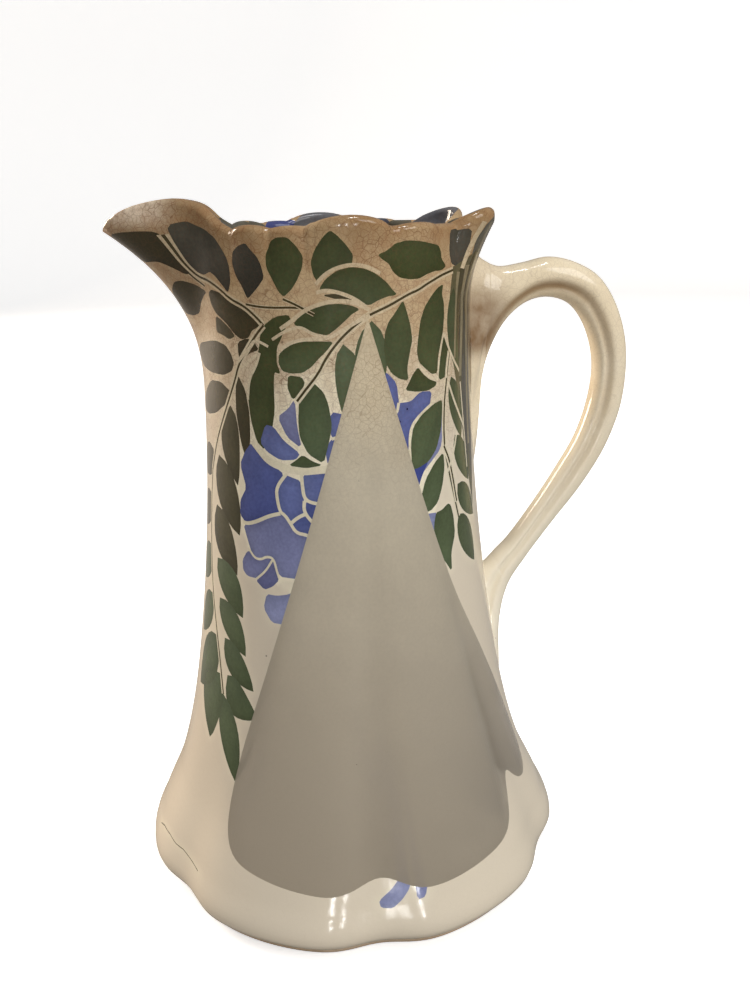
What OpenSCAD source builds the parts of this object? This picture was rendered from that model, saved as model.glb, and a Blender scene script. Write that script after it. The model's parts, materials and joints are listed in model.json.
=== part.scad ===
// Slip-cast earthenware pitcher with a pleated skirt, a frilled rim, a pulled
// pouring lip and a luted strap handle. Millimetres, +Z up. The origin is the
// body's axis on the standing plane; the lip points along -X, the handle +X.

/* [Body] */
// Height of the rim's general line above the standing plane
body_h = 250; // [180:1:320]
// Largest radius of the skirt, over the crest of a pleat
skirt_r = 84.5; // [65:0.5:105]
// Outer radius of the waist
waist_r = 49.6; // [40:0.2:62]
// Thickness of the cast wall
wall = 4.5; // [3:0.1:6]
// Thickness of the floor
floor_t = 5; // [4:0.1:8]

/* [Pleats] */
// Number of pleats round the skirt
pleats = 6; // [4:1:8]
// Depth of the crease between two pleats at the foot
pleat_depth = 4.4; // [0:0.1:6]
// Height at which the creases die away
pleat_h = 92; // [50:1:140]

/* [Foot] */
// Height of the bare standing ring
foot_h = 3.5; // [2:0.1:6]
// Width of the standing ring
foot_w = 7; // [5:0.1:10]
// Step from the wall's outside in to the standing ring
foot_inset = 2.6; // [0.5:0.1:4]

/* [Pouring lip] */
// Distance from the body's axis to the tip of the lip
lip_reach = 79.6; // [62:0.5:95]
// Height over which the lip swells out of the wall
lip_h = 58; // [40:1:80]
// How far the lip's two cheeks rise above the rim's general line
lip_rise = 10; // [4:0.5:14]
// Half the angle that the lip takes of the rim
lip_half_angle = 43; // [36:1:48]

/* [Frilled rim] */
// How far the tallest scallops rise above the rim's general line
frill_rise = 4.6; // [0:0.1:7]
// How far the tallest scallops curl outward
frill_curl = 8.6; // [0:0.1:10]
// Height over which the scallops curl outward
curl_h = 26; // [16:1:40]

/* [Handle] */
// Distance that the handle's back stands out from the wall
handle_reach = 64; // [48:0.5:80]
// Drop from the rim's general line to the handle's crest
handle_drop = 14; // [10:0.5:24]
// Height of the handle's tail, where it dies into the skirt
tail_z = 62; // [48:1:90]
// Width of the handle's grip, side to side
handle_w = 13.5; // [10:0.1:18]
// Depth of the groove along each side of the handle
groove_depth = 1.7; // [0:0.1:2.5]

/* [Luting] */
// How far the slip fillet stands proud of the handle at the wall
luting_w = 2.4; // [1.5:0.1:4]
// How far the slip fillet runs out along the handle
luting_run = 7; // [5:0.5:10]

/* [Hidden] */

ivory = [0.86, 0.82, 0.72];
cream = [0.88, 0.82, 0.70];
slip_white = [0.84, 0.77, 0.64];
bare_clay = [0.74, 0.62, 0.48];

floor_top = foot_h + floor_t;
lip_swell = lip_reach - waist_r;
columns = 72;
column_step = 360 / columns;

// Share of the skirt's flare that the wall has at each share of its height
FLARE = [
    [0, 0.81], [0.03, 1], [0.08, 0.87], [0.16, 0.61], [0.26, 0.41], [0.38, 0.255],
    [0.52, 0.125], [0.66, 0.04], [0.8, 0], [0.94, 0.01], [1, 0.03]
];
// Heights of the wall's rings of points, as shares of the body's height
RINGS = [0.035, 0.05, 0.075, 0.11, 0.16, 0.22, 0.3, 0.39, 0.49, 0.59, 0.69, 0.77, 0.83, 0.88, 0.92, 0.955, 0.98];
// Rise of the lip's cheek, as a share of lip_rise, over its share of the lip's angle
CHEEK = [[0, 0.06], [0.11, 0.5], [0.23, 0.86], [0.38, 1], [0.56, 0.8], [0.76, 0.37], [1, 0]];
// Scallops on each side of the rim, from the handle round to the lip:
// [angle from the handle, half width, share of the rise, share of the curl]
SCALLOPS = [
    [0, 15, 0.35, 0.6], [28.5, 12, 1, 1], [62, 9, 0.18, 0.12],
    [90, 15.5, 0.8, 0.35], [111, 8.5, 0.2, 0.12], [128, 8.5, 0.3, 0.15]
];

// A smooth curve through [x, y] knots, flat beyond its ends
function slope(k, i) =
    let(a = max(i - 1, 0), b = min(i + 1, len(k) - 1))
    (k[b][1] - k[a][1]) / (k[b][0] - k[a][0]);
function span(x, k, i = 0) = i >= len(k) - 2 || x < k[i + 1][0] ? i : span(x, k, i + 1);
function smooth(x, k) =
    let(
        i = span(x, k),
        w = k[i + 1][0] - k[i][0],
        t = min(max((x - k[i][0]) / w, 0), 1),
        rise = 3 * t * t - 2 * t * t * t
    )
    k[i][1] * (1 - rise) + k[i + 1][1] * rise
    + w * (slope(k, i) * (t * t * t - 2 * t * t + t) + slope(k, i + 1) * (t * t * t - t * t));

function sum(v, i = 0) = i >= len(v) ? 0 : v[i] + sum(v, i + 1);

// Angle from the handle, 0 to 180, and from the lip, for a direction round the body
function from_handle(a) = abs(a > 180 ? a - 360 : a);
function from_lip(a) = 180 - from_handle(a);

// The wall before its pleats, lip and frills
function plain_r(z) = waist_r + (skirt_r - waist_r) * smooth(z / body_h, FLARE);
function crease(a, z) =
    pleat_depth * pow(0.5 - 0.5 * cos(pleats * a), 4) * pow(max(1 - z / pleat_h, 0), 2.5);
function lip_swell_at(a, z) =
    lip_swell * pow(min(max((z - body_h + lip_h) / lip_h, 0), 1), 2.6) * exp(-pow(from_lip(a) / 14, 2));
function scallop(a, s) = pow(max(1 - pow((from_handle(a) - s[0]) / s[1], 2), 0), 0.75);
function curl(a, z) =
    frill_curl * pow(max((z - body_h + curl_h) / curl_h, 0), 1.5) * sum([for (s = SCALLOPS) s[3] * scallop(a, s)]);
function outer_r(a, z) = plain_r(z) - crease(a, z) + lip_swell_at(a, z) + curl(a, min(z, body_h));

// Height of the rim, and of a ring that is level low down and follows the rim at the top
function rim_z(a) =
    body_h + frill_rise * sum([for (s = SCALLOPS) s[2] * scallop(a, s)])
    + lip_rise * smooth(min(from_lip(a) / lip_half_angle, 1), CHEEK);
function ring_z(a, share) = share * body_h + (rim_z(a) - body_h) * pow(max((share - 0.78) / 0.22, 0), 2);

function at(a, r, z) = [r * cos(a), r * sin(a), z];
function outer_point(a, share) = at(a, outer_r(a, ring_z(a, share)), ring_z(a, share));
function inner_point(a, share) = at(a, outer_r(a, ring_z(a, share)) - wall, ring_z(a, share));
// Rounded edge of the rim: turn 0 is the outside, 180 the inside
function edge_point(a, turn) =
    let(half = wall / 2, top = rim_z(a) - half)
    at(a, outer_r(a, top) - half + half * cos(turn), top + half * sin(turn));

// The floor meets the wall over the middle of the standing ring
function floor_edge_r(a) = outer_r(a, foot_h) - foot_inset - foot_w / 2;
around = [for (a = [0 : column_step : 359]) a];
function foot_outline(inset) = [for (a = around) (outer_r(a, foot_h) - inset) * [cos(a), sin(a)]];

// Triangles of a tube of rings of n points each, closed end to end when loop is true
function quad(a, b, c, d) = [[a, b, c], [a, c, d]];
function tube_faces(rings, n, loop) = [
    for (i = [0 : (loop ? rings - 1 : rings - 2)], j = [0 : n - 1])
        let(k = (i + 1) % rings, m = (j + 1) % n)
        each quad(i * n + j, k * n + j, k * n + m, i * n + m)
];
function cap_faces(first, n, centre, flip) = [
    for (j = [0 : n - 1])
        let(a = first + j, b = first + (j + 1) % n)
        flip ? [centre, b, a] : [centre, a, b]
];

module body_wall() {
    rings = concat(
        [[for (a = around) at(a, outer_r(a, foot_h), foot_h)]],
        [for (share = RINGS) [for (a = around) outer_point(a, share)]],
        [for (turn = [0 : 45 : 180]) [for (a = around) edge_point(a, turn)]],
        [for (i = [len(RINGS) - 1 : -1 : 1]) [for (a = around) inner_point(a, RINGS[i])]],
        [for (z = [floor_top, foot_h]) [for (a = around) at(a, floor_edge_r(a), z)]]
    );
    color(ivory) polyhedron([for (r = rings) each r], tube_faces(len(rings), columns, true), 8);
}

module base_floor() {
    color(ivory) translate([0, 0, foot_h]) linear_extrude(floor_t)
        polygon([for (a = around) floor_edge_r(a) * [cos(a), sin(a)]]);
}

module foot_ring() {
    color(bare_clay) linear_extrude(foot_h) difference() {
        polygon(foot_outline(foot_inset));
        polygon(foot_outline(foot_inset + foot_w));
    }
}

// Handle: matching points down its back (outer edge) and its grip (inner edge), from the
// wall under the rim round to the tail, as [share of reach, share of height]
BACK = [
    [-0.06, 1.03], [0.02, 1.015], [0.095, 0.997], [0.19, 0.984], [0.33, 0.99], [0.49, 1], [0.66, 0.985],
    [0.815, 0.948], [0.935, 0.875], [0.99, 0.785], [0.965, 0.675], [0.86, 0.575], [0.695, 0.485], [0.49, 0.40],
    [0.3, 0.32], [0.155, 0.25], [0.07, 0.17], [0.02, 0.085], [-0.02, 0]
];
GRIP = [
    [-0.06, 0.5], [0.02, 0.605], [0.06, 0.72], [0.12, 0.8], [0.215, 0.865], [0.345, 0.905], [0.49, 0.915],
    [0.635, 0.895], [0.74, 0.84], [0.79, 0.765], [0.765, 0.685], [0.68, 0.6], [0.54, 0.52], [0.38, 0.44],
    [0.21, 0.365], [0.09, 0.325], [0.01, 0.29], [-0.03, 0.25], [-0.06, 0.2]
];
// Share of the grip's width at each point
BREADTH = [1.9, 1.6, 1.4, 1.2, 1.08, 1.02, 1, 1, 1, 1, 1, 0.97, 0.95, 0.95, 1, 1.05, 1.1, 1.15, 1.2];

handle_span = body_h - handle_drop - tail_z;
function knots(list, axis) = [for (i = [0 : len(list) - 1]) [i, list[i][axis]]];
function handle_edge(list, t) =
    let(z = tail_z + handle_span * smooth(t, knots(list, 1)))
    [plain_r(z) + handle_reach * smooth(t, knots(list, 0)), 0, z];
function breadth(t) = smooth(t, [for (i = [0 : len(BREADTH) - 1]) [i, BREADTH[i]]]);

// One section of the handle: turn 0 is the grip, 180 the back; proud widens it all round
section_sides = 20;
function half_breadth(u) =
    pow(4 * u * (1 - u), 0.42) * (handle_w / 2 - groove_depth * exp(-pow((u - 0.34) / 0.1, 2)));
function section(t, proud) =
    let(back = handle_edge(BACK, t), grip = handle_edge(GRIP, t), along = (back - grip) / norm(back - grip))
    [for (i = [0 : section_sides - 1])
        let(turn = 360 * i / section_sides, u = 0.5 - 0.5 * cos(turn))
        grip + (back - grip) * u - along * proud * cos(turn)
        + [0, sign(sin(turn)) * half_breadth(u) * breadth(t) + proud * sin(turn), 0]];

module sweep(sections) {
    n = len(sections[0]);
    m = len(sections);
    middle = function(s) sum_points(s) / len(s);
    points = concat([for (s = sections) each s], [middle(sections[0]), middle(sections[m - 1])]);
    faces = concat(
        tube_faces(m, n, false),
        cap_faces(0, n, m * n, false),
        cap_faces((m - 1) * n, n, m * n + 1, true)
    );
    polyhedron(points, faces, 8);
}
function sum_points(s, i = 0) = i >= len(s) ? [0, 0, 0] : s[i] + sum_points(s, i + 1);

// The body's outside near the handle, solid to the axis, which the handle is cut to
module handle_seat() {
    reach = 7;
    fan = [for (j = [-reach : reach]) (j * column_step + 360) % 360];
    n = len(fan);
    levels = concat([foot_h / body_h], RINGS);
    m = len(levels);
    surface = [for (share = levels) each [for (a = fan) outer_point(a, share)]];
    axis = [for (share = levels) [0, 0, share * body_h]];
    faces = concat(
        [for (i = [0 : m - 2], j = [0 : n - 2])
            each quad(i * n + j, (i + 1) * n + j, (i + 1) * n + j + 1, i * n + j + 1)],
        [for (i = [0 : m - 2])
            each quad(m * n + i, m * n + i + 1, (i + 1) * n, i * n)],
        [for (i = [0 : m - 2])
            each quad(i * n + n - 1, (i + 1) * n + n - 1, m * n + i + 1, m * n + i)],
        [for (j = [0 : n - 2]) [m * n, j, j + 1]],
        [for (j = [0 : n - 2]) [m * n + m - 1, (m - 1) * n + j + 1, (m - 1) * n + j]]
    );
    polyhedron(concat(surface, axis), faces, 8);
}

handle_stations = 36;
module handle_blank() {
    last = len(BACK) - 1;
    sweep([for (i = [0 : handle_stations]) section(last * i / handle_stations, 0)]);
}

module handle() {
    color(cream) difference() {
        handle_blank();
        handle_seat();
    }
}

// A collar of slip round the handle between two stations, widest at the one in the wall
luting_edge = 0.5;
module luting(first, last, wall_end) {
    steps = 6;
    color(slip_white) difference() {
        sweep([for (i = [0 : steps])
            let(t = first + (last - first) * i / steps, out = abs(t - wall_end) / (last - first))
            section(t, luting_edge + (luting_w - luting_edge) * pow(1 - out, 2))]);
        handle_blank();
        handle_seat();
    }
}
module upper_luting() { luting(0.4, 0.4 + luting_run / 3.6, 0.4); }
module lower_luting() { luting(17.2 - luting_run / 3.2, 17.2, 17.2); }

body_wall();
base_floor();
foot_ring();
handle();
upper_luting();
lower_luting();
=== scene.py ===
import json
import math
import bmesh
import bpy
from mathutils import Matrix, Vector, kdtree
from mathutils.geometry import delaunay_2d_cdt

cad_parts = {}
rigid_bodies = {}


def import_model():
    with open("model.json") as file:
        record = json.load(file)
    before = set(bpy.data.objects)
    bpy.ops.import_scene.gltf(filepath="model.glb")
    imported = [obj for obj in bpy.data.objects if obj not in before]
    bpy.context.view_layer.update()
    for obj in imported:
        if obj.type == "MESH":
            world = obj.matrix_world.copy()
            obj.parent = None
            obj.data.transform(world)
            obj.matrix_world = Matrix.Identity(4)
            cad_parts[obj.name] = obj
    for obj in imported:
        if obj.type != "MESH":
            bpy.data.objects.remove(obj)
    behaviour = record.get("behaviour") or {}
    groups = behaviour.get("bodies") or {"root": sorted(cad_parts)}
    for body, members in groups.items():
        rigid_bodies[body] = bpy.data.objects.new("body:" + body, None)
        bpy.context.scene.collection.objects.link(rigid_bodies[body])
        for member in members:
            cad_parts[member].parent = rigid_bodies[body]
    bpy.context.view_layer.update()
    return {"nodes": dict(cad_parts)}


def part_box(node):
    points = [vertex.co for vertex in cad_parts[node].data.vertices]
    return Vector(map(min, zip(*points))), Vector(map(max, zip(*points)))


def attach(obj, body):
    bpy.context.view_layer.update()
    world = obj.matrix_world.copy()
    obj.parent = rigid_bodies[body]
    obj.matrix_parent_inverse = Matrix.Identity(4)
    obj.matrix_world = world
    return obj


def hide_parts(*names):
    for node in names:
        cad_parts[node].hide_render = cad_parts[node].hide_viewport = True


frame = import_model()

MM = 0.001

# ---------------------------------------------------------------- Camera
# The pitcher is seen square-on to its left flank, from just above the rim and looking down.
EYE = Vector((-36.5, -350.9, 257.6)) * MM
VIEW_YAW = math.radians(-8.02)
VIEW_PITCH = math.radians(17.62)
VIEW_ROLL = math.radians(-1.505)
camera_data = bpy.data.cameras.new("camera")
camera_data.sensor_fit = "VERTICAL"
camera_data.sensor_height = 24.0
camera_data.lens = 24.0 * 0.9425
camera = bpy.data.objects.new("camera", camera_data)
bpy.context.scene.collection.objects.link(camera)
camera.matrix_world = (
    Matrix.Translation(EYE)
    @ Matrix.Rotation(VIEW_YAW, 4, "Z")
    @ Matrix.Rotation(math.pi / 2 - VIEW_PITCH, 4, "X")
    @ Matrix.Rotation(VIEW_ROLL, 4, "Z")
)
bpy.context.scene.camera = camera

# ---------------------------------------------------------------- Floor and light
# A pale paper floor that turns up all round the pitcher, one broad soft light in front, a small
# bright window above it, and three slim panes low down that the glaze picks up on the skirt.
PAPER_GLOW = 0.6


def link(name, mesh):
    piece = bpy.data.objects.new(name, mesh)
    bpy.context.scene.collection.objects.link(piece)
    return piece


def new_material(name):
    material = bpy.data.materials.new(name)
    material.use_nodes = True
    return material, material.node_tree.nodes["Principled BSDF"]


def pale_paper():
    """White where it is seen, and quieter in the light that it throws back on the glaze."""
    material, shader = new_material("pale_paper")
    nodes, links = material.node_tree.nodes, material.node_tree.links
    seen = nodes.new("ShaderNodeLightPath").outputs["Is Camera Ray"]
    tone = nodes.new("ShaderNodeMix")
    tone.data_type = "RGBA"
    tone.inputs[6].default_value = (0.36, 0.35, 0.34, 1)
    tone.inputs[7].default_value = (0.93, 0.93, 0.93, 1)
    links.new(seen, tone.inputs[0])
    links.new(tone.outputs[2], shader.inputs["Base Color"])
    glow = nodes.new("ShaderNodeMath")
    glow.operation = "MULTIPLY"
    glow.inputs[1].default_value = PAPER_GLOW
    links.new(seen, glow.inputs[0])
    links.new(glow.outputs[0], shader.inputs["Emission Strength"])
    shader.inputs["Emission Color"].default_value = (1, 1, 1, 1)
    shader.inputs["Roughness"].default_value = 0.9
    return material


def build_floor():
    bm = bmesh.new()
    flat, bend, rise = 2.4, 0.7, 1.7
    section = [(0.0, 0.0), (flat, 0.0)]
    for i in range(1, 10):
        turn = math.radians(10 * i)
        section.append((flat + bend * math.sin(turn), bend * (1 - math.cos(turn))))
    section.append((flat + bend, rise))
    verts = [bm.verts.new((x, 0, z)) for x, z in section]
    edges = [bm.edges.new(pair) for pair in zip(verts, verts[1:])]
    bmesh.ops.spin(bm, geom=verts + edges, cent=(0, 0, 0), axis=(0, 0, 1), angle=2 * math.pi,
                   steps=96, use_merge=True)
    bmesh.ops.remove_doubles(bm, verts=bm.verts, dist=1e-5)
    bmesh.ops.recalc_face_normals(bm, faces=bm.faces)
    if bm.faces[0].normal.z < 0:
        bmesh.ops.reverse_faces(bm, faces=bm.faces)
    mesh = bpy.data.meshes.new("paper_floor")
    bm.to_mesh(mesh)
    mesh.shade_smooth()
    mesh.materials.append(pale_paper())
    link("paper_floor", mesh)


def soft_light(name, place, target, size, power, colour=(1, 1, 1)):
    data = bpy.data.lights.new(name, "AREA")
    data.shape = "RECTANGLE"
    data.size, data.size_y = size
    data.energy = power
    data.color = colour
    lamp = bpy.data.objects.new(name, data)
    bpy.context.scene.collection.objects.link(lamp)
    way = Vector(target) - Vector(place)
    lamp.matrix_world = Matrix.Translation(place) @ way.to_track_quat("-Z", "Y").to_matrix().to_4x4()


build_floor()
MIDDLE = (0, 0, 0.13)
soft_light("key_right", (1.35, -1.5, 1.45), MIDDLE, (1.2, 1.0), 24, (1, 0.985, 0.96))
soft_light("soft_front", (-0.6, -2.1, 1.3), MIDDLE, (1.4, 1.0), 1.5, (1, 0.98, 0.95))
soft_light("warm_left", (-1.4, 1.25, 0.7), MIDDLE, (0.7, 1.0), 46, (1, 0.85, 0.7))
soft_light("window", (0.4, -0.45, 2.15), MIDDLE, (0.5, 0.2), 14)
for x, y, wide in ((-0.22, -1.26, 0.032), (0.02, -1.28, 0.022), (0.3, -1.24, 0.035)):
    soft_light("pane", (x, y, 0.165), (0.1 * x, -0.08, 0.03), (wide, 0.12), 30 * wide)
world = bpy.data.worlds.new("studio")
world.use_nodes = True
world.node_tree.nodes["Background"].inputs["Color"].default_value = (1, 1, 1, 1)
world.node_tree.nodes["Background"].inputs["Strength"].default_value = 0.27
bpy.context.scene.world = world
bpy.context.scene.view_settings.view_transform = "Standard"

# ---------------------------------------------------------------- Body casting
# The wall is earthenware slip, cast 4.5 mm thick in a plaster mould with its six pleats, frilled
# rim and pouring lip, fettled, sprayed through stencils, then dipped in a clear glossy glaze.
# One sheet of points is wrapped up the outside, over the rim and down the inside.
FOOT_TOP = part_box("foot_ring")[1][2] / MM
FLOOR_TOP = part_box("base_floor")[1][2] / MM
BODY_H = 250.0
SKIRT_R = 84.5
WAIST_R = 49.6
WALL = 4.5
PLEATS, PLEAT_DEPTH, PLEAT_H = 6, 4.4, 92.0
LIP_REACH, LIP_H, LIP_RISE, LIP_HALF_ANGLE = 79.6, 58.0, 10.0, 43.0
FRILL_RISE, FRILL_CURL, CURL_H = 4.6, 8.6, 26.0
FOOT_INSET, FOOT_W = 2.6, 7.0
FLARE = [
    (0, 0.81), (0.03, 1), (0.08, 0.87), (0.16, 0.61), (0.26, 0.41), (0.38, 0.255),
    (0.52, 0.125), (0.66, 0.04), (0.8, 0), (0.94, 0.01), (1, 0.03),
]
CHEEK = [(0, 0.06), (0.11, 0.5), (0.23, 0.86), (0.38, 1), (0.56, 0.8), (0.76, 0.37), (1, 0)]
SCALLOPS = [
    (0, 15, 0.35, 0.6), (28.5, 12, 1, 1), (62, 9, 0.18, 0.12),
    (90, 15.5, 0.8, 0.35), (111, 8.5, 0.2, 0.12), (128, 8.5, 0.3, 0.15),
]


def smooth(x, knots):
    def slope(i):
        a, b = max(i - 1, 0), min(i + 1, len(knots) - 1)
        return (knots[b][1] - knots[a][1]) / (knots[b][0] - knots[a][0])
    i = 0
    while i < len(knots) - 2 and x >= knots[i + 1][0]:
        i += 1
    width = knots[i + 1][0] - knots[i][0]
    t = min(max((x - knots[i][0]) / width, 0), 1)
    rise = 3 * t * t - 2 * t ** 3
    bow = slope(i) * (t ** 3 - 2 * t * t + t) + slope(i + 1) * (t ** 3 - t * t)
    return knots[i][1] * (1 - rise) + knots[i + 1][1] * rise + width * bow


def from_handle(a):
    return abs((a + 180) % 360 - 180)


def scallop(a, centre, half):
    return max(1 - ((from_handle(a) - centre) / half) ** 2, 0) ** 0.75


def plain_r(z):
    return WAIST_R + (SKIRT_R - WAIST_R) * smooth(z / BODY_H, FLARE)


def outer_r(a, z):
    pleat = (0.5 - 0.5 * math.cos(math.radians(PLEATS * a))) ** 4
    crease = PLEAT_DEPTH * pleat * max(1 - z / PLEAT_H, 0) ** 2.5
    swell = (LIP_REACH - WAIST_R) * min(max((z - BODY_H + LIP_H) / LIP_H, 0), 1) ** 2.6
    swell *= math.exp(-((180 - from_handle(a)) / 14) ** 2)
    curl = FRILL_CURL * max((min(z, BODY_H) - BODY_H + CURL_H) / CURL_H, 0) ** 1.5
    curl *= sum(share * scallop(a, centre, half) for centre, half, _, share in SCALLOPS) if curl else 0
    return plain_r(z) - crease + swell + curl


def rim_z(a):
    frill = sum(share * scallop(a, centre, half) for centre, half, share, _ in SCALLOPS)
    cheek = smooth(min((180 - from_handle(a)) / LIP_HALF_ANGLE, 1), CHEEK)
    return BODY_H + FRILL_RISE * frill + LIP_RISE * cheek


HALF_EDGE = WALL / 2
EDGE_START = BODY_H - HALF_EDGE
EDGE_END = EDGE_START + math.pi * HALF_EDGE
LEVEL_TO = 195.0
INSIDE_END = EDGE_END + EDGE_START - FLOOR_TOP
COVE = 9.0


def sheet_z(a, v):
    """Height on the wall of a point v millimetres up the sheet."""
    share = max((v - LEVEL_TO) / (EDGE_START - LEVEL_TO), 0)
    return v + (rim_z(a) - BODY_H) * share * share


def sheet_v(a, z):
    """The sheet's v for a height on the wall."""
    v = z
    for _ in range(6):
        v -= sheet_z(a, v) - z
    return v


def wall_point(a, v):
    if v <= EDGE_START:
        z = sheet_z(a, v)
        r = outer_r(a, z)
    elif v <= EDGE_END:
        turn = (v - EDGE_START) / HALF_EDGE
        top = rim_z(a) - HALF_EDGE
        r = outer_r(a, top) - HALF_EDGE + HALF_EDGE * math.cos(turn)
        z = top + HALF_EDGE * math.sin(turn)
    elif v <= INSIDE_END:
        z = sheet_z(a, EDGE_START - (v - EDGE_END))
        cove = max(1 - (z - FLOOR_TOP) / COVE, 0) ** 2
        r = (outer_r(a, z) - WALL) * (1 - cove) + floor_edge_r(a) * cove
    else:
        z = FOOT_TOP
        r = floor_edge_r(a)
    turn = math.radians(a)
    return Vector((r * math.cos(turn), r * math.sin(turn), z)) * MM


def floor_edge_r(a):
    return outer_r(a, FOOT_TOP) - FOOT_INSET - FOOT_W / 2


FLANK = -90.0
SHEET_R = 50.0
SHEET_END = INSIDE_END + 4


def on_sheet(x, z):
    """Millimetres round the flank and up it, to the flat sheet."""
    turn = min(max(x / plain_r(z), -math.pi / 2), math.pi / 2)
    return Vector((turn * SHEET_R, sheet_v(FLANK + math.degrees(turn), z)))


# Stencils, in millimetres on the unrolled wall: x runs round from the middle of the flank towards
# the handle, z is the height. Later shapes lie over earlier ones. Each pigment has a full and a
# thin colour, and a shape's two depths say how full the spray is at its foot and at its head.
GREEN = ((0.044, 0.058, 0.017), (0.10, 0.14, 0.078))
OLIVE = ((0.030, 0.026, 0.009), (0.085, 0.08, 0.04))
SMOKE = ((0.034, 0.034, 0.026), (0.13, 0.13, 0.105))
BLUE = ((0.035, 0.052, 0.235), (0.145, 0.18, 0.38))
VIOLET = ((0.13, 0.142, 0.29), (0.28, 0.31, 0.50))
NAVY = ((0.004, 0.006, 0.05), (0.004, 0.006, 0.05))
TWIG = ((0.06, 0.05, 0.02), (0.06, 0.05, 0.02))
BARE = ((0.74, 0.68, 0.50), (0.74, 0.68, 0.50))
FADED = ((0.26, 0.23, 0.14), (0.26, 0.23, 0.14))
SLATE = ((0.05, 0.062, 0.11), (0.17, 0.185, 0.20))
stencils = []
LEAF_FULLNESS = 1.16
STEP = 1.1


def spray(outline, pigment, foot=0.5, head=None, flat=False, way=(0, 1)):
    """One stencilled shape. Its depth runs from foot to head along way."""
    outline = [Vector(p) if flat else on_sheet(*p) for p in outline]
    if sum(p.x * q.y - q.x * p.y for p, q in zip(outline, outline[1:] + outline[:1])) < 0:
        outline = outline[::-1]
    close = []
    for p, q in zip(outline, outline[1:] + outline[:1]):
        steps = max(math.ceil((q - p).length / STEP), 1)
        close += [p + (q - p) * i / steps for i in range(steps)]
    stencils.append((close, pigment, foot, foot if head is None else head, Vector(way).normalized()))


def leaf(base, tip, width, bend=0.0, pigment=GREEN, foot=0.6, head=0.4):
    base, tip = Vector(base), Vector(tip)
    width *= LEAF_FULLNESS
    along = tip - base
    side = Vector((-along.y, along.x)).normalized()
    steps = 9
    edges = []
    for sign in (1, -1):
        edge = []
        for i in range(steps + 1):
            t = i / steps
            half = width / 2 * math.sin(math.pi * t ** 0.82) ** 0.8 if 0 < t < 1 else 0
            edge.append(base + along * t + side * (sign * half + bend * math.sin(math.pi * t)))
        edges.append(edge)
    spray(edges[0] + edges[1][-2:0:-1], pigment, foot, head)


def petal(points, pigment=VIOLET, foot=0.5, head=None, grow=0.3, way=(0, 1)):
    """A cut outline with its corners eased, let out a little all round."""
    path = [Vector(p) for p in points]
    path = [p + (q - p) * t for p, q in zip(path, path[1:] + path[:1]) for t in (0.16, 0.84)]
    turn = math.copysign(grow, sum(p.x * q.y - q.x * p.y for p, q in zip(path, path[1:] + path[:1])))
    out = []
    for before, p, after in zip(path[-1:] + path[:-1], path, path[1:] + path[:1]):
        along = (after - before).normalized() * turn
        out.append((p.x + along.y, p.y - along.x))
    spray(out, pigment, foot, head, way=way)


def stem(points, core=0.8, margin=0.75, bare=BARE):
    """A thin sprayed twig between two bare lines."""
    path = [Vector(p) for p in points]
    for _ in range(2):
        eased = [p + (q - p) * t for p, q in zip(path, path[1:]) for t in (0.25, 0.75)]
        path = path[:1] + eased + path[-1:]
    for half, pigment in [(core / 2 + margin, bare)] * (margin > 0) + [(core / 2, TWIG)] * (core > 0):
        left, right = [], []
        for i, p in enumerate(path):
            way = (path[min(i + 1, len(path) - 1)] - path[max(i - 1, 0)]).normalized()
            side = Vector((-way.y, way.x)) * half
            left.append(p + side)
            right.append(p - side)
        spray(left + right[::-1], pigment)


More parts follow.
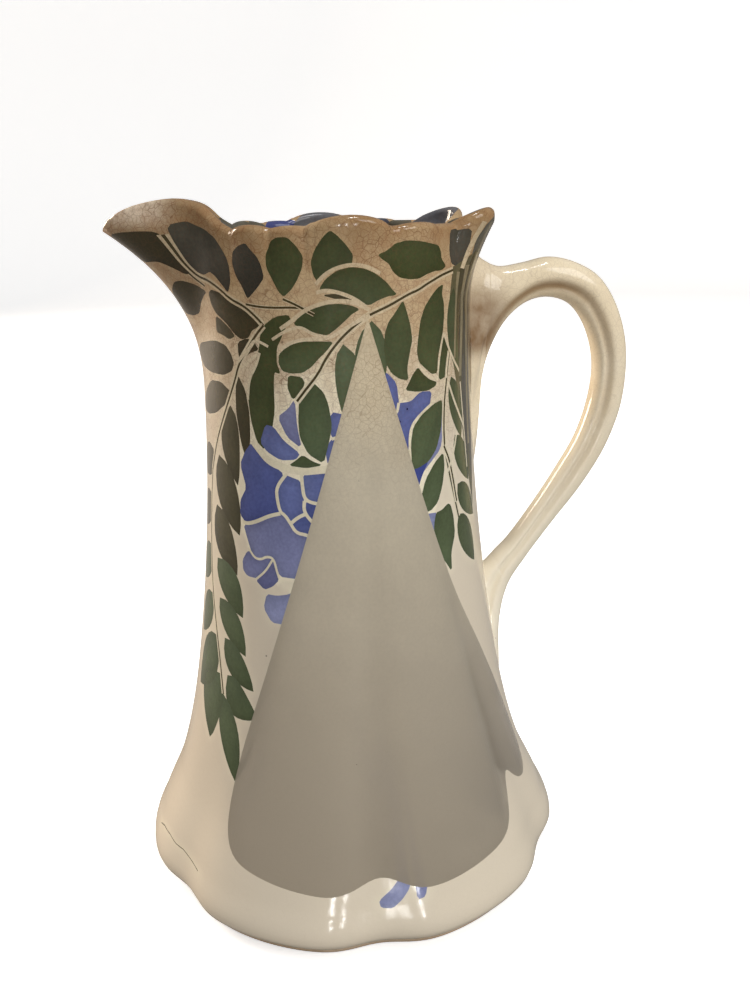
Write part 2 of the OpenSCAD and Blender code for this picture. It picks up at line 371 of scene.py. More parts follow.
# Leaves under the lip, and round the top of the flank
for pigment, foot, head, points in [
    (SMOKE, 0.9, 0.55, [(-65.7, 251.5), (-65.2, 244.6), (-64.5, 241), (-63.1, 237.8), (-60.6, 236), (-57, 235.3),
                        (-53.5, 236.5), (-50.5, 235.3), (-46.6, 232.4), (-43.9, 230), (-42.4, 233.5), (-42.4, 238.2),
                        (-43.5, 241.2), (-45.8, 244.3), (-48.9, 247.4), (-53.5, 249.7), (-58.2, 251.2), (-61.5, 252.6)]),
    (OLIVE, 1.0, 0.8, [(-77, 248.5), (-71.3, 249.6), (-68.1, 249.4), (-66.6, 246.7), (-66.3, 243.1), (-65.2, 238.9),
                       (-62.4, 235.6), (-65.6, 235.3), (-68.4, 237.4), (-71.3, 239.6), (-76, 239), (-80, 243)]),
    (OLIVE, 1.0, 0.8, [(-70.2, 232.4), (-67.7, 232.9), (-64.1, 232.1), (-60.6, 231), (-57, 229.6), (-59.1, 228.1),
                       (-61.6, 225.3), (-63.4, 222.1), (-67.7, 220.9), (-72.7, 221), (-78, 223), (-76, 227), (-73, 230)]),
    (OLIVE, 0.75, 0.75, [(-55.5, 229.3), (-54.3, 225.5), (-51.6, 222.8), (-48.2, 221.2), (-45.1, 219.3), (-42, 216.6),
                         (-38.9, 215.1), (-35.8, 215.8), (-34.3, 218.2), (-30.5, 220.1), (-33.5, 222.4), (-37.4, 225.1),
                         (-41.2, 227.4), (-45.1, 228.9), (-50.5, 230.1), (-53.5, 230.5)]),
    (OLIVE, 0.4, 0.6, [(-52, 222), (-52.4, 216.6), (-48.2, 215.8), (-45.1, 214.7), (-42, 215.8), (-44.3, 218.2), (-48.2, 220.5)]),
    (OLIVE, 0.8, 0.6, [(-74, 206.5), (-68, 211), (-62, 212.2), (-57.4, 213), (-52.8, 213.4), (-47.4, 212.4), (-44.7, 209.7),
                       (-43.5, 206.6), (-45.1, 203.9), (-49.7, 202.2), (-55.1, 202), (-60, 202), (-68, 203)]),
    (OLIVE, 0.8, 0.8, [(-40.8, 213.9), (-36.6, 215.5), (-33.5, 214.3), (-32, 212), (-35.8, 210.8), (-38.9, 208.2),
                       (-40.1, 207.4), (-40.9, 210.5)]),
    (SMOKE, 1.0, 0.85, [(-33.9, 245.8), (-37.4, 244.7), (-40.1, 242.8), (-40.8, 239.3), (-39.3, 235.5), (-37, 232.4),
                       (-35.1, 228.5), (-33.9, 229.3), (-30.5, 232.4), (-28.2, 235.1), (-28.9, 238.9), (-30.1, 241.6),
                       (-32.4, 243.9)]),
    (GREEN, 0.7, 0.95, [(-25.1, 246.2), (-22.8, 247.4), (-19.3, 247.4), (-16.6, 244.7), (-14.7, 241.6), (-15.1, 238.2),
                       (-17, 234.3), (-18.9, 231.6), (-21.6, 229.3), (-23.2, 230.8), (-25.1, 234.3), (-27, 238.2), (-27, 242)]),
    (GREEN, 0.7, 0.95, [(-5.9, 249.2), (-4.1, 247.8), (-1.3, 244.7), (0.7, 241.7), (0.3, 238.9), (-4.1, 238), (-7.7, 236),
                       (-9.9, 233.2), (-11.6, 235.8), (-12.2, 239.7), (-10.8, 243.5), (-8, 247.4)]),
    (GREEN, 1.0, 0.9, [(8.7, 241.4), (11.6, 242.4), (15.1, 244.6), (18.7, 245.3), (23.7, 244.9), (28.7, 243.9), (32.6, 243.1),
                       (33.7, 241.4), (34.1, 238.9), (36.6, 236.4), (34.4, 235.3), (30.9, 235.3), (27.3, 234.6),
                       (23.7, 233.3), (20.1, 233.3), (16.6, 234), (14.4, 235.6), (12.6, 238.5), (10.1, 240.1)]),
    (SMOKE, 0.7, 0.5, [(38.8, 247.6), (42, 248), (46.2, 247.8), (46.5, 243), (45.8, 238), (43, 236), (40, 237), (38.6, 240.5)]),
    (SMOKE, 0.2, 0.0, [(49, 237), (48.5, 244), (51, 250), (56, 252), (60, 246), (60, 238)]),
    (GREEN, 0.6, 0.95, [(-9.9, 231.6), (-7.7, 234.6), (-4.1, 237.1), (0.1, 238), (4.4, 237.3), (8, 235.6), (11.6, 232.8),
                       (13.7, 230.3), (15.3, 228.8), (12.3, 228.5), (8.7, 227.4), (5.9, 226), (3.4, 226.6), (0.9, 228.1),
                       (-2, 229.6), (-4.9, 230.3), (-8.4, 231)]),
    (OLIVE, 0.5, 0.5, [(-9, 229.6), (-5, 229.9), (-1.5, 228.9), (1.5, 227.2), (-1, 227.7), (-5, 228.4)]),
    (GREEN, 0.7, 0.8, [(-18.9, 220.6), (-17, 222.6), (-15, 224.3), (-12, 225.8), (-7.7, 226.6), (-3.4, 226.7), (0.1, 226),
                       (2.6, 224.8), (0.1, 223.5), (-2.7, 221), (-5.2, 218.9), (-8, 217), (-11.2, 217.4), (-14.3, 218.8)]),
    (GREEN, 0.45, 0.8, [(-22, 212.8), (-20, 214.3), (-15.8, 215), (-11.2, 215), (-6, 214.8), (-9, 211.5), (-11.2, 209.5),
                        (-13.5, 207), (-16.6, 205), (-20.5, 204.7), (-23.5, 205.5), (-24.7, 208), (-24.3, 210.8)]),
    (GREEN, 0.9, 0.9, [(-29.3, 220), (-25.1, 222.8), (-20.5, 223.5), (-19.7, 222), (-22, 218.9), (-23.5, 215.8), (-25.1, 213),
                       (-25.5, 208), (-24.3, 204.5), (-26.5, 205), (-27, 201), (-27.2, 192), (-29, 184), (-32, 178.5),
                       (-35, 181), (-37, 188), (-37.8, 196.6), (-36.6, 202.8), (-33.5, 207.4), (-31.6, 212.8), (-31, 216.6)]),
    (OLIVE, 0.8, 0.6, [(-46, 196.5), (-52, 199.5), (-60, 199), (-68, 194), (-74, 187), (-66, 186), (-57, 188), (-50, 192)]),
    (OLIVE, 0.8, 0.6, [(-42, 203), (-38.8, 198), (-37.6, 190), (-38, 181), (-40, 173), (-42.5, 180), (-44, 190), (-43.5, 198)]),
    (GREEN, 0.7, 0.7, [(-21.5, 204), (-17, 203.5), (-16, 201.5), (-18.3, 197.5), (-20.5, 196.2), (-22, 200)]),
]:
    petal(points, pigment, foot, head, 0.1)

# The spray that hangs down beside the lip
for base, tip, width, bend in [
    ((-47, 192), (-45.5, 164), 8.5, -2.5), ((-57, 173), (-46, 146), 11, -1), ((-61, 154), (-48.5, 131), 11, -1.5),
    ((-62, 134), (-46.5, 116), 10, 1.5), ((-61, 119.5), (-46, 102), 9, 1), ((-58, 105.5), (-43, 90), 8.5, -1),
    ((-57, 92), (-42, 80), 10, -3), ((-60, 84), (-54, 54), 9, 0), ((-62, 91), (-71, 64), 13, -4),
    ((-64, 104.5), (-84, 79), 11.5, 1), ((-68, 119), (-82, 100), 9, 0), ((-69, 137), (-80, 121), 9, 0),
    ((-67, 157), (-79, 142), 9, 0), ((-62, 174), (-76, 163), 9, 0),
]:
    leaf(base, tip, width * 1.12, bend, GREEN if base[1] < 140 else OLIVE, 0.7, 0.35)

# The blossom's open flowers, deep in the heart of the cluster and thin at its edge
ACROSS, UP = (1, 0), (0, 1)
for pigment, foot, head, way, points in [
    (BLUE, 0.75, 0.5, UP, [(-40.5, 177), (-37, 180.5), (-35, 179), (-30, 174), (-25, 170.5), (-28, 166), (-28, 162), (-27, 157),
                           (-32, 155.3), (-37.5, 152.5), (-42, 151.2), (-45, 154), (-44.5, 159), (-41, 164), (-43.5, 172)]),
    (BLUE, 0.2, 0.3, UP, [(-31, 187), (-28, 186.5), (-24.5, 182), (-19, 178), (-20.5, 176), (-26, 175.5), (-31, 178), (-33.5, 181)]),
    (VIOLET, 0.9, 0.4, UP, [(-26, 190), (-22, 193), (-19.8, 196), (-19.5, 187), (-18.3, 180), (-23, 183.5)]),
    (BLUE, 0.35, 0.25, UP, [(-25, 170.5), (-19, 168.5), (-18.5, 163), (-18.5, 158), (-21, 156), (-23.6, 153.8), (-27, 157),
                            (-28, 162), (-28, 166)]),
    (BLUE, 0.1, 1.05, ACROSS, [(-18.6, 170.5), (-13, 171), (-8, 171.5), (-4, 173), (-1.5, 172.5), (0, 169.3), (4.5, 168),
                              (5, 162), (5, 156), (1, 153), (-2.7, 154.5), (-3.2, 162), (-6, 163.3), (-11, 160.8),
                              (-16, 161.5), (-18.5, 163)]),
    (BLUE, 0.45, 0.45, UP, [(-11, 160.7), (-8, 162), (-6, 163.5), (-3.2, 162), (-3.5, 157.5), (-8, 158.2)]),
    (BLUE, 0.8, 0.6, UP, [(-18.2, 161.5), (-11, 160.5), (-8, 158.2), (-3.5, 157.5), (-2.7, 154.5), (-0.5, 152.3), (-3, 148.8),
                          (-8, 148.5), (-10.5, 148.5), (-13.5, 152.7), (-16.4, 155), (-18.6, 158)]),
    (BLUE, 0.2, 0.6, UP, [(-23.6, 153.6), (-20.9, 156), (-18.2, 157), (-16.4, 155), (-13.6, 152.7), (-11, 149.8), (-10, 147.5),
                          (-12.5, 142), (-14, 138.5), (-17.3, 139), (-18.6, 141), (-18, 146), (-16.4, 149), (-18.2, 150),
                          (-21.8, 150.5)]),
    (VIOLET, 0.55, 0.8, UP, [(-43.5, 150.5), (-37, 152.5), (-32, 155.3), (-27, 157), (-25.5, 156.4), (-23.6, 153.6),
                             (-21.8, 150.5), (-18.2, 150), (-16.4, 149.1), (-18.2, 145.5), (-18.8, 140), (-20, 135.5),
                             (-22.5, 134.3), (-29, 134.5), (-30.5, 140.5), (-33.6, 141), (-37, 139.2), (-40, 140.5), (-42, 146)]),
    (VIOLET, 0.7, 0.9, UP, [(-45, 137.5), (-42.5, 141), (-40.5, 141.5), (-39, 139.3), (-36, 139.3), (-33.6, 141), (-31, 140.5),
                            (-35, 135.5), (-38.6, 132.3), (-43, 132.3), (-45, 134)]),
    (VIOLET, 1.1, 0.9, UP, [(-31, 140.3), (-30, 136), (-29.5, 133), (-32, 130.5), (-35.5, 128.8), (-39, 131.5), (-36, 135)]),
    (BLUE, 0.35, 0.55, UP, [(-8, 183), (-4.5, 184), (-1.8, 185.5), (1.4, 188.6), (2.7, 189.1), (4.5, 186.8), (5.6, 185),
                            (8.2, 185), (10.5, 186.4), (11.1, 188.4), (14.7, 190.2), (15.3, 193.2), (14.6, 200), (11, 204),
                            (4, 205), (0, 203), (-2, 200), (-2, 190.5), (-8, 192)]),
    (BLUE, 0.15, 0.5, UP, [(-8.5, 182.5), (-4.5, 184), (-1.8, 185.5), (1.4, 188.6), (2.7, 189), (4.5, 186.8), (5.6, 185),
                           (8.2, 185), (10.5, 186), (12.7, 182.7), (12.9, 178), (12.4, 173.6), (12.7, 170.8), (9.5, 170.2),
                           (6.5, 167.3), (4.5, 168.2), (3, 173.6), (1.8, 176.2), (-0.5, 176.5), (-4.5, 173.8), (-9.5, 174.5),
                           (-10, 178)]),
    (BLUE, 0.8, 0.5, UP, [(-4.5, 173.3), (-0.5, 176.5), (1.8, 176.2), (2.9, 173.6), (4, 168.5), (0, 169.1), (-0.5, 170.9),
                          (-1.8, 173.2)]),
    (BLUE, 0.65, 0.35, UP, [(14.8, 190.2), (15.3, 193.2), (20, 193.2), (24, 196), (29, 195.5), (28, 191), (23.6, 188),
                            (20.5, 185.5), (19.3, 181.8), (19.3, 176), (17.1, 174), (16.8, 171.8), (12.9, 171), (12.6, 178),
                            (12.7, 183), (10.7, 186), (11.1, 188.4)]),
    (VIOLET, 0.6, 0.2, UP, [(34, 192), (34.3, 180), (33, 175), (27, 170.5), (24, 168), (25, 172), (30, 180)]),
    (BLUE, 0.7, 1.05, UP, [(4.8, 167.5), (6.5, 167.3), (9.5, 170.2), (12.9, 171), (16, 170.7), (17, 173.5), (19.1, 176),
                          (19.8, 170), (22.5, 170.5), (27, 172), (24, 167.5), (22, 163), (19.5, 158.5), (15.5, 155.6),
                          (9, 156.3), (5.2, 158)]),
    (VIOLET, 0.2, 0.85, UP, [(-13.2, 133), (-13.6, 137), (-12.6, 142), (-10.5, 146.3), (-9.5, 148), (-3, 148.5), (0, 151.7),
                             (5, 151.7), (7.5, 149.5), (10, 145), (11.8, 140), (11.5, 135), (9, 133.5), (4.5, 133.6),
                             (2.3, 136.8), (0, 137.5), (-3.2, 137.5), (-5, 135), (-7.3, 133.2)]),
    (VIOLET, 0.9, 0.45, UP, [(-8, 132.5), (-5, 135), (-3.2, 137.3), (0, 137.5), (2.3, 136.8), (4.8, 133.5), (5, 130), (3, 127.5),
                             (-2, 126.8), (-6.5, 128), (-8.5, 130.5)]),
    (VIOLET, 0.2, 0.5, UP, [(-11, 126.5), (-4, 126.2), (4.2, 125.5), (6.7, 117), (9.3, 112), (7.5, 108), (3, 107), (0.3, 109.7),
                            (-4.3, 109.7), (-8.3, 106.5), (-13, 106), (-20, 110.5), (-16.7, 116)]),
    (VIOLET, 0.3, 0.5, UP, [(-12.3, 105), (-8, 106.8), (-5, 109.5), (-0.8, 109.5), (2.8, 106.5), (1.3, 102.5), (-3, 101.8),
                            (-6, 100.3), (-10, 101.3)]),
]:
    petal(points, pigment, foot, head, 0.15, way)

# The bare bridges of the stencil between the petals
for width, path in [
    (1.0, [(-8, 182.9), (-4.5, 184.1), (-1.8, 185.5), (1.4, 188.6), (2.7, 189.1), (4.5, 186.8), (5.6, 185), (8.2, 185),
           (10.5, 186.4), (11.1, 188.4), (12.7, 189.5), (14.7, 190.2), (15.3, 193.5)]),
    (1.1, [(10.5, 186), (12.7, 182.7), (12.9, 178.2), (12.4, 173.6), (12.9, 171.1), (15.5, 170.7), (16.8, 171.8),
           (17.1, 174.1), (19.3, 176.2), (19.3, 181.8), (20.5, 185.5), (23.6, 188.2), (28.2, 190.9), (34.5, 193.6)]),
    (0.9, [(19.3, 176.5), (19.8, 169.5)]),
    (1.1, [(-10.9, 172.5), (-4.5, 173.6), (-0.5, 176.5), (1.8, 176.2), (2.9, 173.6), (3.6, 169.1), (4.5, 168.2)]),
    (0.9, [(-4.5, 173.2), (-1.8, 173.2), (-0.5, 170.9), (0, 169.1), (1.8, 168.4), (4.5, 168)]),
    (1.1, [(4.5, 168.2), (6.4, 167.3), (8.2, 168.6), (9.5, 170.2), (13, 170.9)]),
    (1.2, [(5, 168.2), (4.7, 161.8), (5, 156.4), (3.6, 152.7)]),
    (2.6, [(-37, 181), (-34, 178), (-30.5, 174.5), (-24.5, 172.7), (-19, 171.8), (-13.6, 172.4), (-8.2, 172.9), (-4.5, 173.6)]),
    (1.2, [(-18.8, 171.5), (-18.6, 166.4), (-18.2, 162.7), (-15.9, 161.2), (-10.9, 160.7), (-8.2, 161.8), (-5.9, 163.5),
           (-3.4, 162.3), (-3.2, 158.2), (-2.7, 154.5), (-0.5, 152.3)]),
    (1.0, [(-10.9, 160.5), (-8.2, 158.2), (-3.4, 157.5)]),
    (1.2, [(-18.2, 161.8), (-18.6, 158.2), (-16.4, 155), (-13.6, 152.7), (-11.4, 150), (-10, 148), (-6.4, 148.2),
           (-2.7, 148.8), (0, 151.8), (4.5, 152.7)]),
    (1.2, [(-24, 171), (-28.2, 165.9), (-28.2, 161.8), (-27.3, 157.3), (-25.5, 156.4), (-23.6, 153.6), (-21.8, 150.5),
           (-18.2, 150), (-16.4, 149.1), (-18.2, 145.5), (-18.6, 140.9), (-17.3, 138.5)]),
    (1.2, [(-23.6, 153.6), (-20.9, 155.9), (-18.2, 157.2)]),
    (1.3, [(-27.3, 156.8), (-31.8, 155.5), (-37.3, 152.7), (-41.8, 151.2), (-44, 151.6)]),
    (0.9, [(-42, 142.6), (-40.9, 141.5), (-39.1, 139.5), (-36.4, 139.3), (-33.6, 140.9), (-30.9, 140.5), (-30, 136.4),
           (-29.1, 133.6)]),
    (0.8, [(-31.4, 140), (-34.5, 135.5), (-39, 131.8)]),
    (0.9, [(-14, 132.5), (-7.3, 133), (-5, 135), (-3.2, 137.5), (0, 137.5), (2.3, 136.8), (5, 133.2)]),
    (1.3, [(-9.5, 147.8), (-12.7, 141.8), (-13.8, 136.4), (-13.5, 132)]),
    (1.0, [(-14.5, 105.5), (-10.5, 106.2), (-7, 108), (-4.5, 110), (0, 110), (2.5, 107.7), (7.5, 107.2)]),
    (0.9, [(-8.5, 130), (-6.5, 127.3), (-2, 126.3), (3, 126.8), (5.5, 129.5)]),
]:
    stem(path, 0, width / 2)

for x in (-4.6, -2.4, -0.2):
    spray([(x, 127.5), (x + 1.5, 127.5), (x + 1.2, 123), (x, 123)], GREEN, 0.3)

# The small florets down the raceme: broad petal, narrow petal, calyx
for broad, narrow, calyx in [
    ([(-36, 122), (-34.5, 127), (-30.5, 127), (-26, 128), (-21.5, 130.5), (-17.5, 129.5), (-22.5, 123.5), (-28.5, 117.5), (-33, 117.5)],
     [(-16, 129), (-15.5, 121), (-17.5, 117.5), (-22.5, 115.5), (-28, 116.5), (-22.5, 122)],
     [(-14.5, 137.5), (-24, 130.5), (-17, 131), (-13, 126.5)]),
    ([(-35, 96.5), (-31.5, 100.5), (-25.5, 99), (-18.5, 100.5), (-25, 93), (-28.5, 92.5), (-33, 94)],
     [(-16, 99.5), (-15, 96.5), (-17.5, 90.5), (-23, 88.5), (-25.5, 90.5), (-20.5, 96.5)],
     [(-25, 101), (-18.5, 106.5), (-13.5, 106.5), (-13.5, 102), (-15.5, 97.5), (-17.5, 102)]),
    ([(14.5, 149.5), (18.5, 150.5), (26, 153), (30.5, 152.5), (28, 146), (18.5, 146)],
     [(15.5, 145), (20.5, 144), (28, 144), (27.5, 140), (22.5, 140.5), (17, 142.5)],
     [(6, 152.5), (7, 154.5), (11.5, 153), (18.5, 151), (13, 149.5), (15, 143.5), (10.5, 147.5)]),
    ([(17.5, 135.5), (22.5, 134.5), (31.5, 134), (30, 128.5), (26, 128.5), (20.5, 132.5)],
     [(17, 134), (21.5, 130.5), (27, 127.5), (25, 125.5), (20.5, 127.5), (17.5, 131)],
     [(12, 140.5), (15.5, 140.5), (22, 136.5), (16, 136), (15, 132), (13, 134.5), (11.5, 137.5)]),
    ([(14.5, 118), (18.5, 120), (24, 121), (29.5, 123.5), (34, 120), (34.5, 116.5), (31.5, 113.5), (22.5, 114.5), (17, 115.5)],
     [(13, 115.5), (18.5, 113), (27.5, 112), (27.5, 109), (24, 106), (20.5, 105.5), (16, 109)],
     [(3.5, 123), (6, 124), (11.5, 122.5), (18, 122), (13, 120), (14.5, 117.5), (12, 117.5), (12, 111.5), (9, 116.5), (5, 119)]),
    ([(13, 100), (18.5, 102), (24, 104.5), (29.5, 107.5), (33, 103.5), (31.5, 98), (27, 95.5), (18.5, 97.5)],
     [(12.5, 98), (18.5, 96), (26.5, 94.5), (25, 91.5), (22.5, 90), (17.5, 92), (13.5, 95)],
     [(2.5, 103), (5, 106), (8.5, 105.5), (14, 102.5), (9.5, 101), (11.5, 94), (7.5, 98), (3, 101)]),
    ([(-22.5, 85), (-16.5, 87.5), (-10.5, 91), (-8, 92), (-10.5, 85.5), (-15, 79.5), (-22, 80)],
     [(-6, 90.5), (-6, 84.5), (-8, 79.5), (-13.5, 78.5), (-9.5, 84.5), (-7.5, 89.5)],
     [(-13.5, 92.5), (-7.5, 98.5), (-5, 98), (-5.5, 90.5)]),
    ([(2, 92), (9, 89), (15.5, 88.5), (17.5, 84), (15.5, 81), (10, 80.5), (5.5, 84.5)],
     [(-2, 91), (2, 89.5), (5, 84), (8, 80.5), (7, 77.5), (2, 79), (-1, 84)],
     [(-3.5, 98), (-2, 100), (0.5, 98), (4, 93), (0.5, 96), (-3, 90)]),
    ([(-7.5, 74.5), (-5.5, 72.5), (-7, 67.5), (-8.5, 64.5), (-13.5, 60), (-18, 60), (-18.5, 64.5), (-12.5, 68.5)],
     [(-4, 71.5), (-2.5, 65.5), (-5, 60.5), (-7.5, 61.5), (-6.5, 66.5)],
     [(-5.5, 81.5), (-3.5, 74.5), (-4, 72), (-7, 75.5), (-11, 72.5), (-8, 77.5)]),
    ([(6.5, 69.5), (12.5, 69.5), (19, 70), (22.5, 67), (19, 63), (14.5, 62.5), (9, 66.5)],
     [(5, 69.5), (7.5, 67.5), (13.5, 61.5), (11, 60), (7.5, 63), (5.5, 65.5)],
     [(0.5, 75), (3.5, 76), (8, 71), (4, 69.5), (1.5, 70)]),
    ([(-2.5, 56.5), (-0.5, 56), (-2.5, 52), (-4.5, 46.5), (-8, 45.5), (-12.5, 46), (-13, 48.5), (-8, 50.5), (-4.5, 53.5)],
     [(1, 55.5), (1, 50), (-0.5, 44.5), (-4, 43), (-5, 44.5), (-2, 51)],
     [(-1, 64.5), (1, 63), (2.5, 58.5), (1, 56), (-1.5, 57), (-3.5, 58.5), (-2.5, 62)]),
    ([(7.5, 50.5), (9, 48.5), (15.5, 46), (21, 45.5), (22.5, 43), (20, 40.5), (15.5, 40), (11, 42), (8.5, 46.5)],
     [(5, 50.5), (7, 48.5), (10, 42), (11, 40.5), (6.5, 41), (4.5, 44.5)],
     [(3, 57.5), (6, 57.5), (8.5, 51), (5.5, 52), (3, 50.5), (2.5, 54.5)]),
    ([(10, 31), (12.5, 29.5), (11, 24), (8, 20.5), (4.5, 18), (0.5, 18.5), (0, 20.5), (4.5, 23.5), (8.5, 27.5)],
     [(14, 30), (16.5, 31), (18, 25.5), (16.5, 20.5), (14, 20), (13.5, 25.5)],
     [(9, 39.5), (11.5, 40), (15.5, 32), (12.5, 33), (7, 32.5), (8.5, 34.5)]),
]:
    petal(broad, VIOLET, 0.2, 0.45)
    petal(narrow, VIOLET, 0.6)
    spray(calyx, GREEN, 0.75)
for path in ([(-3, 101), (-3.5, 92), (-3, 81), (-1.5, 72), (-0.5, 66)], [(0, 66), (2.5, 60), (5, 56), (9, 50)],
             [(-1, 66), (0, 60), (0.5, 54)], [(8, 50), (9, 45), (10, 39)]):
    stem(path, 1.0, 0)

# Leaves that lie over the blossom, and the spray that hangs down beside the handle
for base, tip, width, bend in [
    ((6.5, 221), (5.5, 192), 9.5, 0), ((-3, 214), (-2.5, 187), 8, 1.5),
]:
    leaf(base, tip, width, bend, GREEN, 0.5, 0.3)
for foot, points in [
    (0.6, [(17.6, 226.4), (18.7, 223.5), (20.1, 218.9), (20.9, 213.9), (19.8, 209.6), (18.7, 204.6), (19.1, 200.6),
           (15.9, 201.4), (13, 203.5), (11.2, 206.7), (10.5, 211.7), (10.9, 216.7), (12.3, 220.3), (15.1, 223.5), (16.9, 226)]),
    (0.75, [(35.1, 230.6), (34.4, 227.4), (35.5, 224.6), (35.7, 220.3), (35.1, 215.3), (33.7, 211), (32.4, 206.7),
            (31.9, 201.5), (29.4, 201.4), (26.6, 203.5), (23.7, 206), (22.8, 209.6), (23.4, 213.9), (24.4, 219.6),
            (26.2, 223.9), (29.4, 227.4), (32.3, 229.6)]),
    (0.75, [(35.5, 213.5), (37.3, 210.3), (38.7, 207.4), (37.3, 203.9), (36.6, 199.6), (33.7, 198.9), (32.8, 199.6),
            (33, 203.1), (34.1, 208.9)]),
    (0.8, [(23.1, 204.4), (25.1, 202), (28, 199.7), (31.6, 198.3), (30.9, 197.1), (27.3, 196.1), (22.3, 196.4), (18, 197.4),
           (19.4, 199.6), (20.9, 202.1)]),
    (0.35, [(-18.2, 195.5), (-18.8, 189), (-18.6, 183.6), (-16, 178), (-11, 174.8), (-9, 181.8), (-7.7, 187.3), (-8.6, 194.5),
            (-10, 198.5), (-13.5, 202), (-17, 199)]),
    (0.5, [(-23, 173.8), (-20.5, 175.5), (-18, 177.5), (-14.5, 175.3), (-11.5, 174.2), (-17, 173.2)]),
    (0.45, [(20, 170), (19.7, 179), (20.8, 184.5), (24.5, 188.2), (30, 191), (34, 191.8), (34.5, 190), (33.6, 181.8),
            (31, 175.5), (27.3, 171.8), (22.7, 170.2)]),
    (0.45, [(19.5, 154.3), (22.7, 157.5), (25.5, 165.5), (30, 170.6), (34.5, 173.3), (35, 168), (33.6, 161.8), (31, 156.4),
            (27.3, 154)]),
    (0.45, [(30, 152.7), (29, 149), (28.6, 143.6), (30, 138), (33.6, 134.5), (37.3, 129.5), (37.3, 136.4), (40, 142.7),
            (39.5, 149), (38, 153.6), (36.4, 154.5), (33, 153)]),
]:
    petal(points, GREEN, foot, foot + 0.2, 0.1)
spray([(41, 236), (46, 238), (52, 241), (59, 241), (62, 225), (61.5, 190), (59.5, 165), (57, 148), (54, 158), (50, 172),
       (46, 190), (42.5, 200), (38.5, 214), (39, 226)], OLIVE, -0.5)
for base, tip, width, bend in [
    ((41.5, 229), (41, 204), 6.5, 0), ((40, 199), (47, 176), 7.5, 0), ((42, 178), (53, 159), 8, 0),
    ((43, 160), (57, 145), 8, 0), ((43, 149), (55, 128), 9, 0), ((40.5, 216), (45, 200), 6, 0),
]:
    leaf(base, tip, width, bend, GREEN, 0.6, 0.75)
for base, tip, width, pigment in [
    ((45.5, 238), (47, 200), 4.5, OLIVE), ((50, 241), (52, 186), 5, OLIVE), ((55, 240), (56.5, 190), 4, SMOKE),
    ((50, 206), (53, 166), 5, SMOKE), ((56, 200), (57.5, 158), 4, SMOKE),
]:
    leaf(base, tip, width, 0, pigment)
for points in [
    [(41, 234.8), (35.5, 233.9), (31.6, 232.8), (27.3, 231.4), (23.7, 229.7), (19.8, 228.6), (16, 227), (12.3, 225.3),
     (8.7, 224), (5, 222.5)],
    [(5, 222.5), (0.5, 219.5), (-4, 215.5), (-8.5, 210), (-11.5, 204.5), (-15.5, 199.8), (-19, 195.5)],
    [(-67, 248.5), (-66.2, 243.9), (-64.9, 239.2), (-62.7, 236.2), (-59.9, 234.4), (-54.7, 233.4), (-48, 230.9),
     (-43, 228), (-36.6, 225.9), (-32, 222.5), (-29.5, 220)],
    [(-29.5, 220), (-33, 216.5), (-37, 211.5), (-41.2, 206.5), (-44, 200), (-50, 190), (-58.5, 177), (-64, 166)],
    [(-64, 166), (-67, 154), (-68.5, 141), (-68, 127), (-67, 119), (-64.5, 108), (-62, 97), (-60, 84)],
    [(39, 208), (37, 198), (35.5, 190), (35, 176), (37.5, 166), (40.5, 156), (43, 148)],
    [(35, 175.5), (38, 170), (40, 163), (42, 154)],
]:
    stem(points)
for points in [[(-36, 226.6), (-31, 225.9), (-25, 225.7), (-19, 225.9), (-13.5, 225.4)], [(-22, 228.5), (-17.5, 226.6), (-12, 223.5)],
               [(-57.5, 231.5), (-62, 233.6), (-64, 235.5)]]:
    stem(points, 0.7, 0.25)
for width, points in [
    (1.3, [(5.9, 224.4), (0.9, 227.2), (-4.9, 227.9), (-10.6, 226.7), (-15, 225), (-19.5, 221.5), (-23.5, 219)]),
    (1.2, [(4.8, 225.4), (0.9, 228.3), (-3.4, 230.2), (-7.7, 231.2), (-11, 230.4)]),
    (1.2, [(-11, 233), (-8, 236.1), (-4, 238.1), (0.5, 238.9), (5, 238.1), (9.5, 235.7)]),
    (1.2, [(5.9, 222.8), (0.9, 220.6), (-3.4, 218.2), (-7.7, 215.9), (-12, 216), (-18.9, 215.3), (-23.2, 212.8)]),
    (1.0, [(-26.6, 215.5), (-22, 218.3), (-18.2, 219.6), (-15.8, 219.4), (-12.8, 217.4), (-8.2, 216.4)]),
    (0.9, [(23.2, 205.3), (25.5, 202.6), (28.5, 200.4), (32.4, 199)]), (0.8, [(35.5, 214.4), (33.7, 208.9), (32.6, 203.1), (32.2, 199)]),
    (1.0, [(35.9, 214), (38, 209.8), (40.9, 205.6), (43.7, 202.4), (47.3, 198.9)]), (1.2, [(38.4, 207.5), (37.2, 203), (36.8, 199)]),
    (1.0, [(-39.7, 205.3), (-36.6, 208), (-32, 210.8)]), (1.0, [(-31.7, 211), (-33.4, 206.6), (-36.8, 202), (-37.9, 195)]),
    (0.9, [(-41.2, 207.4), (-38.9, 209.5), (-35.8, 212.6), (-33.4, 215.3), (-30.5, 214.3), (-28.2, 213.2)]),
    (1.8, [(45.5, 235), (47.3, 243), (49.5, 250)]), (0.9, [(47, 196), (50, 178), (52, 164)]),
    (1.0, [(38, 197.5), (42, 190), (47, 183), (50, 179)]), (1.0, [(37, 166), (41, 172), (43.5, 179)]),
]:
    stem(points, 0, width / 2)

for width, points in [
    (1.2, [(44, 234), (43.2, 220), (42.6, 205)]), (2.2, [(48, 236), (48.6, 216), (47, 198)]),
    (2.4, [(52.5, 240), (53.5, 220), (54.2, 196), (55, 172)]), (2.5, [(58, 240), (59, 215), (59.5, 176)]),
]:
    stem(points, 0, width / 2, FADED)

